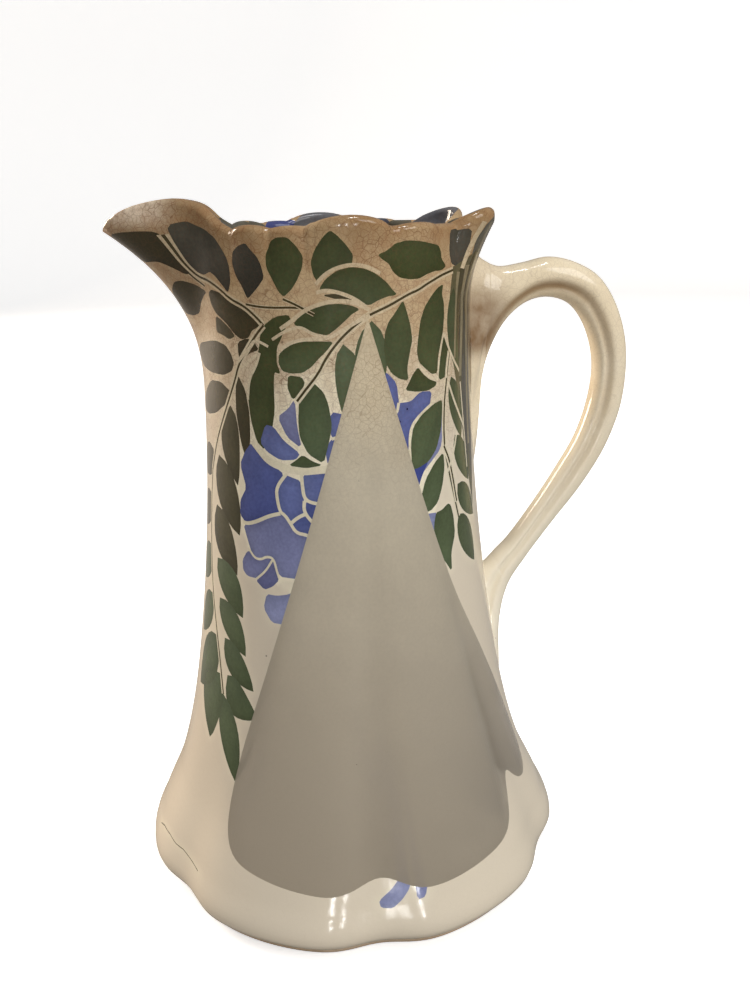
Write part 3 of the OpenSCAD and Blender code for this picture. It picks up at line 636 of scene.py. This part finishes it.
# Blots of strong blue that dripped, and one old hairline in the skirt
for x, z, size in ((15, 187, 0.9), (15, 174.5, 0.7), (0.5, 153.7, 0.7), (35, 117, 0.55), (18.5, 191, 0.35)):
    spray([(x + size * math.cos(t), z + size * math.sin(t)) for t in (0, 0.9, 1.8, 2.7, 3.6, 4.5, 5.4)], NAVY)
crack = [(-116, 16.5), (-110, 18.2), (-102, 19), (-96, 18.4), (-90.5, 18.7), (-84, 17.8), (-78, 17)]
spray(crack + [(x, z + 0.28) for x, z in crack[::-1]], TWIG)

# Patches sprayed inside the rim, by angle round from the lip and depth below the edge
for first, last, deep, pigment, amount in [
    (-150, -124, 12, SMOKE, 0.15), (-128, -118, 8, SMOKE, 0.3), (-120, -101, 10, BLUE, 0.7), (-103, -76, 14, SLATE, 0.3),
    (-80, -52, 8, SLATE, 0.8), (-56, -40, 7, SMOKE, 0.1), (-44, -15, 14, SLATE, 0.4), (-16, -2, 12, SMOKE, 0.2),
    (-177, -158, 14, BLUE, 0.05),
]:
    patch = []
    for i in range(17):
        turn = math.pi * i / 16
        a = (first + last) / 2 - (last - first) / 2 * math.cos(turn)
        ragged = 1 + 0.1 * math.sin(0.9 * i + first)
        patch.append((math.radians(a - FLANK) * SHEET_R, EDGE_END + deep * ragged * math.sin(turn) ** 0.6))
    for share in (0.75, 0.5, 0.25):
        a = first + (last - first) * share
        patch.append((math.radians(a - FLANK) * SHEET_R, EDGE_START + 3.3))
    spray(patch, pigment, amount, flat=True)


def sheet_rows():
    rows = [FOOT_TOP + (EDGE_START - FOOT_TOP) * i / 108 for i in range(109)]
    rows += [EDGE_START + (EDGE_END - EDGE_START) * i / 8 for i in range(1, 9)]
    rows += [EDGE_END + (INSIDE_END - EDGE_END) * i / 70 for i in range(1, 71)]
    return rows + [SHEET_END]


UNSPRAYED = (None, (None, None), 0, 0, None)


def wall_normal(a, v):
    """Square to the wall, from its slopes round it and up it."""
    lean = 0.3
    low, high = max(v - lean, FOOT_TOP), min(v + lean, INSIDE_END)
    round_it = wall_point(a + lean, min(v, INSIDE_END)) - wall_point(a - lean, min(v, INSIDE_END))
    return round_it.cross(wall_point(a, high) - wall_point(a, low)).normalized()


def build_body():
    columns = 120
    half_turn = math.pi / 2 * SHEET_R
    outlines = [outline for outline, *_ in stencils]
    marks = kdtree.KDTree(sum(len(outline) for outline in outlines))
    for p in (p for outline in outlines for p in outline):
        marks.insert((p.x, p.y, 0), 0)
    marks.balance()
    points = []
    for i in range(columns + 1):
        x = -half_turn + 2 * half_turn * i / columns
        for v in sheet_rows():
            edge = i in (0, columns) or v in (FOOT_TOP, SHEET_END)
            if edge or marks.find((x, v, 0))[2] > 0.45:
                points.append(Vector((x, v)))
    faces = []
    for outline in outlines:
        faces.append(list(range(len(points), len(points) + len(outline))))
        points += outline
    flat, _, triangles, _, _, owners = delaunay_2d_cdt(points, [], faces, 0, 1e-5, True)
    bm = bmesh.new()
    pigment = bm.loops.layers.float_color.new("pigment")
    halo = bm.verts.layers.float.new("halo")
    rim = bm.verts.layers.float.new("edge")
    facing = bm.verts.layers.float_vector.new("facing")
    verts = []
    for p in flat:
        a = FLANK + math.degrees(p.x / SHEET_R)
        vert = bm.verts.new(wall_point(a, p.y))
        vert[facing] = wall_normal(a, p.y)
        vert[rim] = max(1 - marks.find((p.x, p.y, 0))[2] / 3, 0)
        in_cluster = ((p.x + 8) / 38) ** 2 + ((p.y - 165) / 40) ** 2 < 1
        vert[halo] = max(1 - marks.find((p.x, p.y, 0))[2] / 4, 0) * (1 if in_cluster else 0.4) * (p.y < 215)
        verts.append(vert)
    for triangle, owner in zip(triangles, owners):
        try:
            face = bm.faces.new([verts[i] for i in triangle])
        except ValueError:
            continue
        outline, (full, thin), foot, head, way = stencils[max(owner)] if owner else UNSPRAYED
        if outline:
            low, high = min(p.dot(way) for p in outline), max(p.dot(way) for p in outline)
        for loop, i in zip(face.loops, triangle):
            if outline:
                share = foot + (head - foot) * (flat[i].dot(way) - low) / (high - low)
                loop[pigment] = [t + (f - t) * share for f, t in zip(full, thin)] + [0.6 if full is BARE[0] else 1]
            else:
                loop[pigment] = (0, 0, 0, 0)
    loose = [v for v in bm.verts if not v.link_faces]
    bmesh.ops.delete(bm, geom=loose, context="VERTS")
    bmesh.ops.mirror(bm, geom=bm.verts[:] + bm.edges[:] + bm.faces[:], merge_dist=1e-6, axis="Y")
    bmesh.ops.remove_doubles(bm, verts=bm.verts, dist=2e-6)
    bmesh.ops.bridge_loops(bm, edges=[edge for edge in bm.edges if edge.is_boundary])
    bmesh.ops.triangulate(bm, faces=[face for face in bm.faces if len(face.verts) > 3])
    bmesh.ops.recalc_face_normals(bm, faces=bm.faces)
    print("body:", len(bm.faces), "faces,", sum(not e.is_manifold for e in bm.edges), "non-manifold")
    mesh = bpy.data.meshes.new("body_casting")
    bm.to_mesh(mesh)
    mesh.shade_smooth()
    facings = [Vector(item.vector) for item in mesh.attributes["facing"].data]
    for vert, way in zip(mesh.vertices, facings):
        if vert.co.y > 1e-7:
            way.y = -way.y
    mesh.normals_split_custom_set_from_vertices(facings)
    return link("body_casting", mesh)


# Shader helpers, and the effects that the glazed pieces share


def add(tree, kind, **settings):
    node = tree.nodes.new("ShaderNode" + kind)
    for name, value in settings.items():
        if name.startswith("in_"):
            node.inputs[int(name[3:])].default_value = value
        else:
            setattr(node, name, value)
    return node


def wire(tree, source, node, socket):
    tree.links.new(source, node.inputs[socket])
    return node


def math_node(tree, operation, first, second, clamp=False):
    node = add(tree, "Math", operation=operation, use_clamp=clamp)
    for i, value in enumerate((first, second)):
        if isinstance(value, (int, float)):
            node.inputs[i].default_value = value
        else:
            tree.links.new(value, node.inputs[i])
    return node.outputs[0]


def ramp(tree, value, low, high, to_low=0.0, to_high=1.0):
    node = add(tree, "MapRange", interpolation_type="SMOOTHSTEP", in_1=low, in_2=high, in_3=to_low, in_4=to_high)
    return wire(tree, value, node, 0).outputs[0]


def blend(tree, share, first, second, kind="MIX"):
    node = add(tree, "Mix", data_type="RGBA", blend_type=kind)
    for socket, value in ((0, share), (6, first), (7, second)):
        if isinstance(value, tuple):
            node.inputs[socket].default_value = value + (1,)
        elif isinstance(value, (int, float)):
            node.inputs[socket].default_value = value
        else:
            tree.links.new(value, node.inputs[socket])
    return node.outputs[2]


def noise(tree, place, scale, detail=2.0, rough=0.5):
    node = add(tree, "TexNoise", in_2=scale, in_3=detail, in_4=rough)
    return wire(tree, place, node, 0).outputs[0]


def new_group(name, inputs, outputs):
    group = bpy.data.node_groups.new(name, "ShaderNodeTree")
    for in_out, sockets in (("INPUT", inputs), ("OUTPUT", outputs)):
        for socket, kind in sockets:
            group.interface.new_socket(name=socket, in_out=in_out, socket_type="NodeSocket" + kind)
    return group, group.nodes.new("NodeGroupInput"), group.nodes.new("NodeGroupOutput")


def use_group(tree, group, place, **values):
    node = add(tree, "Group", node_tree=group)
    tree.links.new(place, node.inputs["Place"])
    for name, value in values.items():
        node.inputs[name].default_value = value
    return node


# Crazing: a net of hair-fine cracks in the glaze, wide cells with finer ones inside them
craze, given, made = new_group("craze_net", [("Place", "Vector"), ("Cell", "Float"), ("Line", "Float")], [("Mask", "Float")])
bent = add(craze, "TexNoise", in_2=160.0, in_3=2.0)
wire(craze, given.outputs["Place"], bent, 0)
swing = add(craze, "VectorMath", operation="MULTIPLY_ADD", in_1=(0.003, 0.003, 0.003))
wire(craze, bent.outputs["Color"], swing, 0)
wire(craze, given.outputs["Place"], swing, 2)
nets = []
for finer in (1.0, 2.1):
    cells = add(craze, "TexVoronoi", feature="DISTANCE_TO_EDGE")
    wire(craze, swing.outputs[0], cells, "Vector")
    wire(craze, math_node(craze, "DIVIDE", finer, given.outputs["Cell"]), cells, "Scale")
    line = add(craze, "MapRange", interpolation_type="SMOOTHSTEP", in_1=0.0, in_3=1.0 / finer, in_4=0.0)
    wire(craze, cells.outputs["Distance"], line, 0)
    wire(craze, math_node(craze, "MULTIPLY", given.outputs["Line"], finer), line, 2)
    nets.append(line.outputs[0])
wire(craze, math_node(craze, "MAXIMUM", *nets), made, 0)

# Iron specks and pinholes burnt into the glaze
specks, given, made = new_group("kiln_specks", [("Place", "Vector"), ("Spacing", "Float"), ("Size", "Float")], [("Mask", "Float")])
cells = add(specks, "TexVoronoi", feature="F1")
wire(specks, given.outputs["Place"], cells, "Vector")
wire(specks, math_node(specks, "DIVIDE", 1.0, given.outputs["Spacing"]), cells, "Scale")
pick = add(specks, "SeparateColor")
wire(specks, cells.outputs["Color"], pick, 0)
reach = math_node(specks, "MULTIPLY", pick.outputs[0], given.outputs["Size"])
near = math_node(specks, "LESS_THAN", cells.outputs["Distance"], reach)
wire(specks, math_node(specks, "MULTIPLY", near, math_node(specks, "GREATER_THAN", pick.outputs[1], 0.55)), made, 0)

# The slow swell and the fine orange-peel of a glaze that ran a little as it melted
flow, given, made = new_group("glaze_flow", [("Place", "Vector"), ("Swell", "Float"), ("Peel", "Float")], [("Height", "Float")])
slow = math_node(flow, "MULTIPLY", noise(flow, given.outputs["Place"], 42.0, 1.0), given.outputs["Swell"])
fine = math_node(flow, "MULTIPLY", noise(flow, given.outputs["Place"], 520.0, 2.0), given.outputs["Peel"])
wire(flow, math_node(flow, "ADD", slow, fine), made, 0)


GLOSS = 0.3


def body_glaze():
    material, shader = new_material("crazed_ivory_glaze")
    tree = material.node_tree
    place = add(tree, "TexCoord").outputs["Object"]
    axes = add(tree, "SeparateXYZ")
    wire(tree, place, axes, 0)
    x, z = axes.outputs[0], axes.outputs[2]
    cloud = noise(tree, place, 38.0, 4.0, 0.6)
    drift = math_node(tree, "MULTIPLY_ADD", cloud, 0.045)
    drift.node.inputs[2].default_value = -0.022
    level = math_node(tree, "ADD", z, drift)
    tea = ramp(tree, level, 0.165, 0.245)
    burnt = math_node(tree, "MULTIPLY", ramp(tree, level, 0.228, 0.268), ramp(tree, cloud, 0.25, 0.6))
    under_lip = math_node(tree, "MULTIPLY", ramp(tree, x, -0.035, -0.06), ramp(tree, level, 0.185, 0.235))
    ground = blend(tree, tea, (0.68, 0.605, 0.485), (0.56, 0.44, 0.27))
    ground = blend(tree, math_node(tree, "MULTIPLY", burnt, 0.85), ground, (0.24, 0.135, 0.05))
    ground = blend(tree, math_node(tree, "MULTIPLY", under_lip, 0.5), ground, (0.34, 0.27, 0.18))
    cheek = math_node(tree, "MULTIPLY", ramp(tree, x, -0.052, -0.066), ramp(tree, z, 0.249, 0.256))
    ground = blend(tree, math_node(tree, "MULTIPLY", cheek, ramp(tree, cloud, 0.25, 0.6, 0.5, 1.0)), ground, (0.80, 0.72, 0.60))
    mottle = noise(tree, place, 160.0, 5.0, 0.7)
    ground = blend(tree, math_node(tree, "MULTIPLY", tea, ramp(tree, mottle, 0.42, 0.62, 0.0, 0.42)), ground, (0.34, 0.19, 0.09))
    halo = add(tree, "Attribute", attribute_name="halo").outputs["Fac"]
    ground = blend(tree, math_node(tree, "MULTIPLY", ramp(tree, halo, 0.0, 1.0), 0.85), ground, (0.86, 0.80, 0.62))
    pigment = add(tree, "Attribute", attribute_name="pigment")
    grain = noise(tree, place, 900.0, 2.0)
    patchy = noise(tree, place, 70.0, 3.0)
    tone = math_node(tree, "ADD", ramp(tree, grain, 0.2, 0.8, 0.9, 1.1), ramp(tree, patchy, 0.25, 0.75, -0.14, 0.14))
    edge = add(tree, "Attribute", attribute_name="edge").outputs["Fac"]
    tone = math_node(tree, "MULTIPLY", tone, ramp(tree, edge, 0.0, 1.0, 1.1, 0.93))
    sprayed = blend(tree, 1.0, pigment.outputs["Color"], tone, "MULTIPLY")
    colour = blend(tree, pigment.outputs["Alpha"], ground, sprayed)
    colour = blend(tree, math_node(tree, "MULTIPLY", tea, 0.3), colour, (0.95, 0.72, 0.5), "MULTIPLY")
    net = use_group(tree, craze, place, Cell=0.0025, Line=0.055).outputs[0]
    net = math_node(tree, "MULTIPLY", net, ramp(tree, level, 0.15, 0.215, 0.03, 0.7))
    net = math_node(tree, "MULTIPLY", net, ramp(tree, pigment.outputs["Alpha"], 0.0, 1.0, 1.0, 0.35))
    net = math_node(tree, "MULTIPLY", net, ramp(tree, patchy, 0.3, 0.65, 0.45, 1.0))
    colour = blend(tree, net, colour, (0.16, 0.065, 0.03))
    dots = use_group(tree, specks, place, Spacing=0.011, Size=0.035).outputs[0]
    colour = blend(tree, math_node(tree, "MULTIPLY", dots, 0.6), colour, (0.07, 0.045, 0.03))
    tree.links.new(colour, shader.inputs["Base Color"])
    tree.links.new(ramp(tree, cloud, 0.2, 0.8, 0.07, 0.15), shader.inputs["Roughness"])
    shader.inputs["Specular IOR Level"].default_value = GLOSS
    bump = add(tree, "Bump", in_0=1.0, in_1=0.0002)
    wire(tree, use_group(tree, flow, place, Swell=1.0, Peel=0.2).outputs[0], bump, "Height")
    tree.links.new(bump.outputs[0], shader.inputs["Normal"])
    return material


body = build_body()
ivory_glaze = body_glaze()
body.data.materials.append(ivory_glaze)
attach(body, "root")
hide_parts("body_wall")

# ---------------------------------------------------------------- Floor of the pitcher
# The flat disc that closes the casting inside the skirt, 5 mm of the same slip, cast with the wall
# and glazed on top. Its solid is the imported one.
frame["nodes"]["base_floor"].material_slots[0].material = ivory_glaze

# ---------------------------------------------------------------- Standing ring
# The foot that the pitcher rests on: a low ring that follows the six lobes of the skirt, wiped
# clean of glaze before firing so that it doesn't stick, and darker along its lowest edge.
RING_SECTION = [
    (-0.3, 3.5), (-0.7, 2.3), (-1.5, 1.1), (-2.5, 0.25), (-3.4, 0.0), (-8.6, 0.0), (-9.4, 0.25), (-10.0, 1.2), (-10.2, 3.5),
]


def sweep_rings(name, rings, loop=False, hollows=None):
    """A tube through rings of points, closed end to end or with a cap on each end. hollows says
    how deep in a groove each point of a ring lies."""
    bm = bmesh.new()
    hollow = bm.verts.layers.float.new("hollow")
    hollows = hollows or [0.0] * len(rings[0])
    ring = bmesh.ops.create_circle(bm, segments=len(rings[0]), radius=1, cap_ends=not loop)["verts"]
    edges = [edge for edge in bm.edges if all(v in ring for v in edge.verts)]
    for vert, place, depth in zip(ring, rings[0], hollows):
        vert.co = place
        vert[hollow] = depth
    for places in rings[1:] + (rings[:1] if loop else []):
        made = bmesh.ops.extrude_edge_only(bm, edges=edges)["geom"]
        fresh = {item for item in made if isinstance(item, bmesh.types.BMVert)}
        edges = [item for item in made if isinstance(item, bmesh.types.BMEdge)
                 and item.verts[0] in fresh and item.verts[1] in fresh]
        ring = [next(e.other_vert(v) for e in v.link_edges if e.other_vert(v) in fresh) for v in ring]
        for vert, place, depth in zip(ring, places, hollows):
            vert.co = place
            vert[hollow] = depth
    if loop:
        bmesh.ops.remove_doubles(bm, verts=bm.verts, dist=1e-7)
    else:
        bmesh.ops.contextual_create(bm, geom=edges)
    bmesh.ops.recalc_face_normals(bm, faces=bm.faces)
    mesh = bpy.data.meshes.new(name)
    bm.to_mesh(mesh)
    mesh.shade_smooth()
    return link(name, mesh)


def build_ring():
    rings = []
    for i in range(240):
        turn = math.radians(1.5 * i)
        edge = outer_r(1.5 * i, FOOT_TOP)
        rings.append([Vector(((edge + out) * math.cos(turn), (edge + out) * math.sin(turn), z)) * MM
                      for out, z in RING_SECTION])
    return sweep_rings("standing_ring", rings, loop=True)


def bare_clay():
    material, shader = new_material("bare_biscuit")
    tree = material.node_tree
    place = add(tree, "TexCoord").outputs["Object"]
    axes = add(tree, "SeparateXYZ")
    wire(tree, place, axes, 0)
    grit = noise(tree, place, 1400.0, 4.0, 0.65)
    cloud = noise(tree, place, 60.0, 3.0)
    clay = blend(tree, ramp(tree, cloud, 0.3, 0.7), (0.60, 0.47, 0.33), (0.50, 0.36, 0.23))
    clay = blend(tree, ramp(tree, grit, 0.55, 0.75, 0.0, 0.5), clay, (0.26, 0.17, 0.11))
    # Darker towards the bottom edge, where the ring stands on the floor.
    darker_to_floor = ramp(tree, axes.outputs[2], 0.0007, 0.0, 0.0, 0.7)
    clay = blend(tree, darker_to_floor, clay, (0.34, 0.27, 0.21))
    tree.links.new(clay, shader.inputs["Base Color"])
    shader.inputs["Roughness"].default_value = 0.85
    bump = add(tree, "Bump", in_0=0.6, in_1=0.0003)
    wire(tree, grit, bump, "Height")
    tree.links.new(bump.outputs[0], shader.inputs["Normal"])
    return material


ring = build_ring()
ring.data.materials.append(bare_clay())
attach(ring, "root")
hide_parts("foot_ring")

# ---------------------------------------------------------------- Handle
# A strap of the same clay, pressed in a two-part mould with a soft groove down each side, bent
# to its loop while leather-hard, and luted to the wall under the rim and above the skirt.
HANDLE_REACH, HANDLE_DROP, TAIL_Z = 64.0, 14.0, 62.0
HANDLE_W, GROOVE = 13.5, 1.7
BACK = [
    (-0.06, 1.03), (0.02, 1.015), (0.095, 0.997), (0.19, 0.984), (0.33, 0.99), (0.49, 1), (0.66, 0.985),
    (0.815, 0.948), (0.935, 0.875), (0.99, 0.785), (0.965, 0.675), (0.86, 0.575), (0.695, 0.485), (0.49, 0.40),
    (0.3, 0.32), (0.155, 0.25), (0.07, 0.17), (0.02, 0.085), (-0.02, 0),
]
GRIP = [
    (-0.06, 0.5), (0.02, 0.605), (0.06, 0.72), (0.12, 0.8), (0.215, 0.865), (0.345, 0.905), (0.49, 0.915),
    (0.635, 0.895), (0.74, 0.84), (0.79, 0.765), (0.765, 0.685), (0.68, 0.6), (0.54, 0.52), (0.38, 0.44),
    (0.21, 0.365), (0.09, 0.325), (0.01, 0.29), (-0.03, 0.25), (-0.06, 0.2),
]
BREADTH = [1.9, 1.6, 1.4, 1.2, 1.08, 1.02, 1, 1, 1, 1, 1, 0.97, 0.95, 0.95, 1, 1.05, 1.1, 1.15, 1.2]
ROOT_DEPTH = 2.5


def handle_edge(knots, t):
    z = TAIL_Z + (BODY_H - HANDLE_DROP - TAIL_Z) * smooth(t, [(i, p[1]) for i, p in enumerate(knots)])
    return Vector((plain_r(z) + HANDLE_REACH * smooth(t, [(i, p[0]) for i, p in enumerate(knots)]), 0, z))


def handle_section(t, proud=0.0, web=0.0, sides=48):
    """Points round the strap, grip first; proud stands them all out and web fills under the grip.
    None goes through the wall."""
    back, grip = handle_edge(BACK, t), handle_edge(GRIP, t)
    along = (back - grip).normalized()
    breadth = smooth(t, list(enumerate(BREADTH)))
    points = []
    for i in range(sides):
        turn = 2 * math.pi * i / sides
        u = 0.5 - 0.5 * math.cos(turn)
        half = (4 * u * (1 - u)) ** 0.42 * (HANDLE_W / 2 - GROOVE * math.exp(-((u - 0.34) / 0.1) ** 2)) * breadth
        p = grip + (back - grip) * u - along * (proud * math.cos(turn) + web * (1 - u) ** 3)
        p.y = math.copysign(half, math.sin(turn)) + proud * math.sin(turn)
        a, r = math.degrees(math.atan2(p.y, p.x)), math.hypot(p.x, p.y)
        least = outer_r(a, p.z) - ROOT_DEPTH
        if r < least:
            p.x, p.y = p.x * least / r, p.y * least / r
        points.append(p * MM)
    return points


def handle_glaze(name, root_stain_and_shade):
    material, shader = new_material(name)
    tree = material.node_tree
    place = add(tree, "TexCoord").outputs["Object"]
    axes = add(tree, "SeparateXYZ")
    wire(tree, place, axes, 0)
    x, z = axes.outputs[0], axes.outputs[2]
    cloud = noise(tree, place, 55.0, 4.0, 0.6)
    # near_root browns the underside of the upper root where it meets the wall: partly a brown stain, partly painted
    # shade under the root.
    near_root = math_node(tree, "MULTIPLY", ramp(tree, x, 0.068, 0.056), ramp(tree, z, 0.198, 0.208))
    near_root = math_node(tree, "MULTIPLY", near_root, ramp(tree, z, 0.232, 0.217, 0.2, 1.0))
    tea = math_node(tree, "MULTIPLY", ramp(tree, z, 0.09, 0.22), ramp(tree, cloud, 0.2, 0.7, 0.55, 1.0))
    colour = blend(tree, tea, (0.90, 0.83, 0.68), (0.82, 0.70, 0.50))
    hollow = add(tree, "Attribute", attribute_name="hollow").outputs["Fac"]
    # Darkens the handle's groove, most on the upper loop: glaze and dirt settled in it, and painted shade in the
    # recess.
    groove_stain_and_shade = math_node(tree, "MULTIPLY", hollow, ramp(tree, z, 0.12, 0.215, 0.1, 0.95))
    groove_stain_and_shade = math_node(tree, "MULTIPLY", groove_stain_and_shade, ramp(tree, x, 0.084, 0.104, 1.0, 0.45))
    colour = blend(tree, math_node(tree, "MULTIPLY", groove_stain_and_shade, ramp(tree, cloud, 0.2, 0.6, 0.55, 1.0)), colour,
                   (0.30, 0.19, 0.09))
    # Mixes in the brown under the root: stain and painted shade.
    colour = blend(tree, math_node(tree, "MULTIPLY", near_root, ramp(tree, cloud, 0.25, 0.55, 0.6, root_stain_and_shade)), colour,
                   (0.19, 0.10, 0.04))
    net = use_group(tree, craze, place, Cell=0.0026, Line=0.05).outputs[0]
    net = math_node(tree, "MULTIPLY", net, ramp(tree, z, 0.12, 0.23, 0.02, 0.2))
    colour = blend(tree, net, colour, (0.2, 0.1, 0.05))
    dots = use_group(tree, specks, place, Spacing=0.009, Size=0.045).outputs[0]
    colour = blend(tree, math_node(tree, "MULTIPLY", dots, 0.6), colour, (0.08, 0.05, 0.035))
    tree.links.new(colour, shader.inputs["Base Color"])
    tree.links.new(ramp(tree, cloud, 0.2, 0.8, 0.07, 0.15), shader.inputs["Roughness"])
    shader.inputs["Specular IOR Level"].default_value = GLOSS
    bump = add(tree, "Bump", in_0=1.0, in_1=0.0002)
    wire(tree, use_group(tree, flow, place, Swell=0.8, Peel=0.09).outputs[0], bump, "Height")
    tree.links.new(bump.outputs[0], shader.inputs["Normal"])
    return material


STATIONS = 180
last = len(BACK) - 1
groove_depths = []
for i in range(48):
    u = 0.5 - 0.5 * math.cos(2 * math.pi * i / 48)
    groove_depths.append(math.exp(-((u - 0.34) / 0.13) ** 2))
handle = sweep_rings("strap_handle", [handle_section(last * i / STATIONS) for i in range(STATIONS + 1)],
                     hollows=groove_depths)
handle.data.materials.append(handle_glaze("cream_glaze", 0.85))
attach(handle, "root")
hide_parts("handle")

# ---------------------------------------------------------------- Luting fillets
# A soft collar of slip wiped round each end of the handle, which swells out to the wall and
# feathers away along the strap. It holds the handle on, and is glazed over with it.
LUTING_W, LUTING_RUN, FEATHER, WEB = 2.4, 7.0, 0.08, 5.5
# The fillets take the stain and painted shade under the root a little more strongly.
slip_glaze = handle_glaze("slip_fillet_glaze", 0.95)
for name, node, first, last, wall_end in [
    ("upper_fillet", "upper_luting", 0.05, 0.4 + LUTING_RUN / 3.6, 0.4),
    ("lower_fillet", "lower_luting", 17.2 - LUTING_RUN / 3.2, 17.95, 17.2),
]:
    rings = []
    for i in range(33):
        t = first + (last - first) * i / 32
        out = min(abs(t - wall_end) / (LUTING_RUN / 3.4), 1) if (t > wall_end) == (wall_end < 9) else 0
        proud = FEATHER + (LUTING_W - FEATHER) * (1 - out) ** 2.4
        rings.append(handle_section(t, proud if 0 < i < 32 else -0.4, WEB * (1 - out) ** 1.6 * (0 < i < 32)))
    fillet = sweep_rings(name, rings)
    fillet.data.materials.append(slip_glaze)
    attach(fillet, "root")
    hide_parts(node)
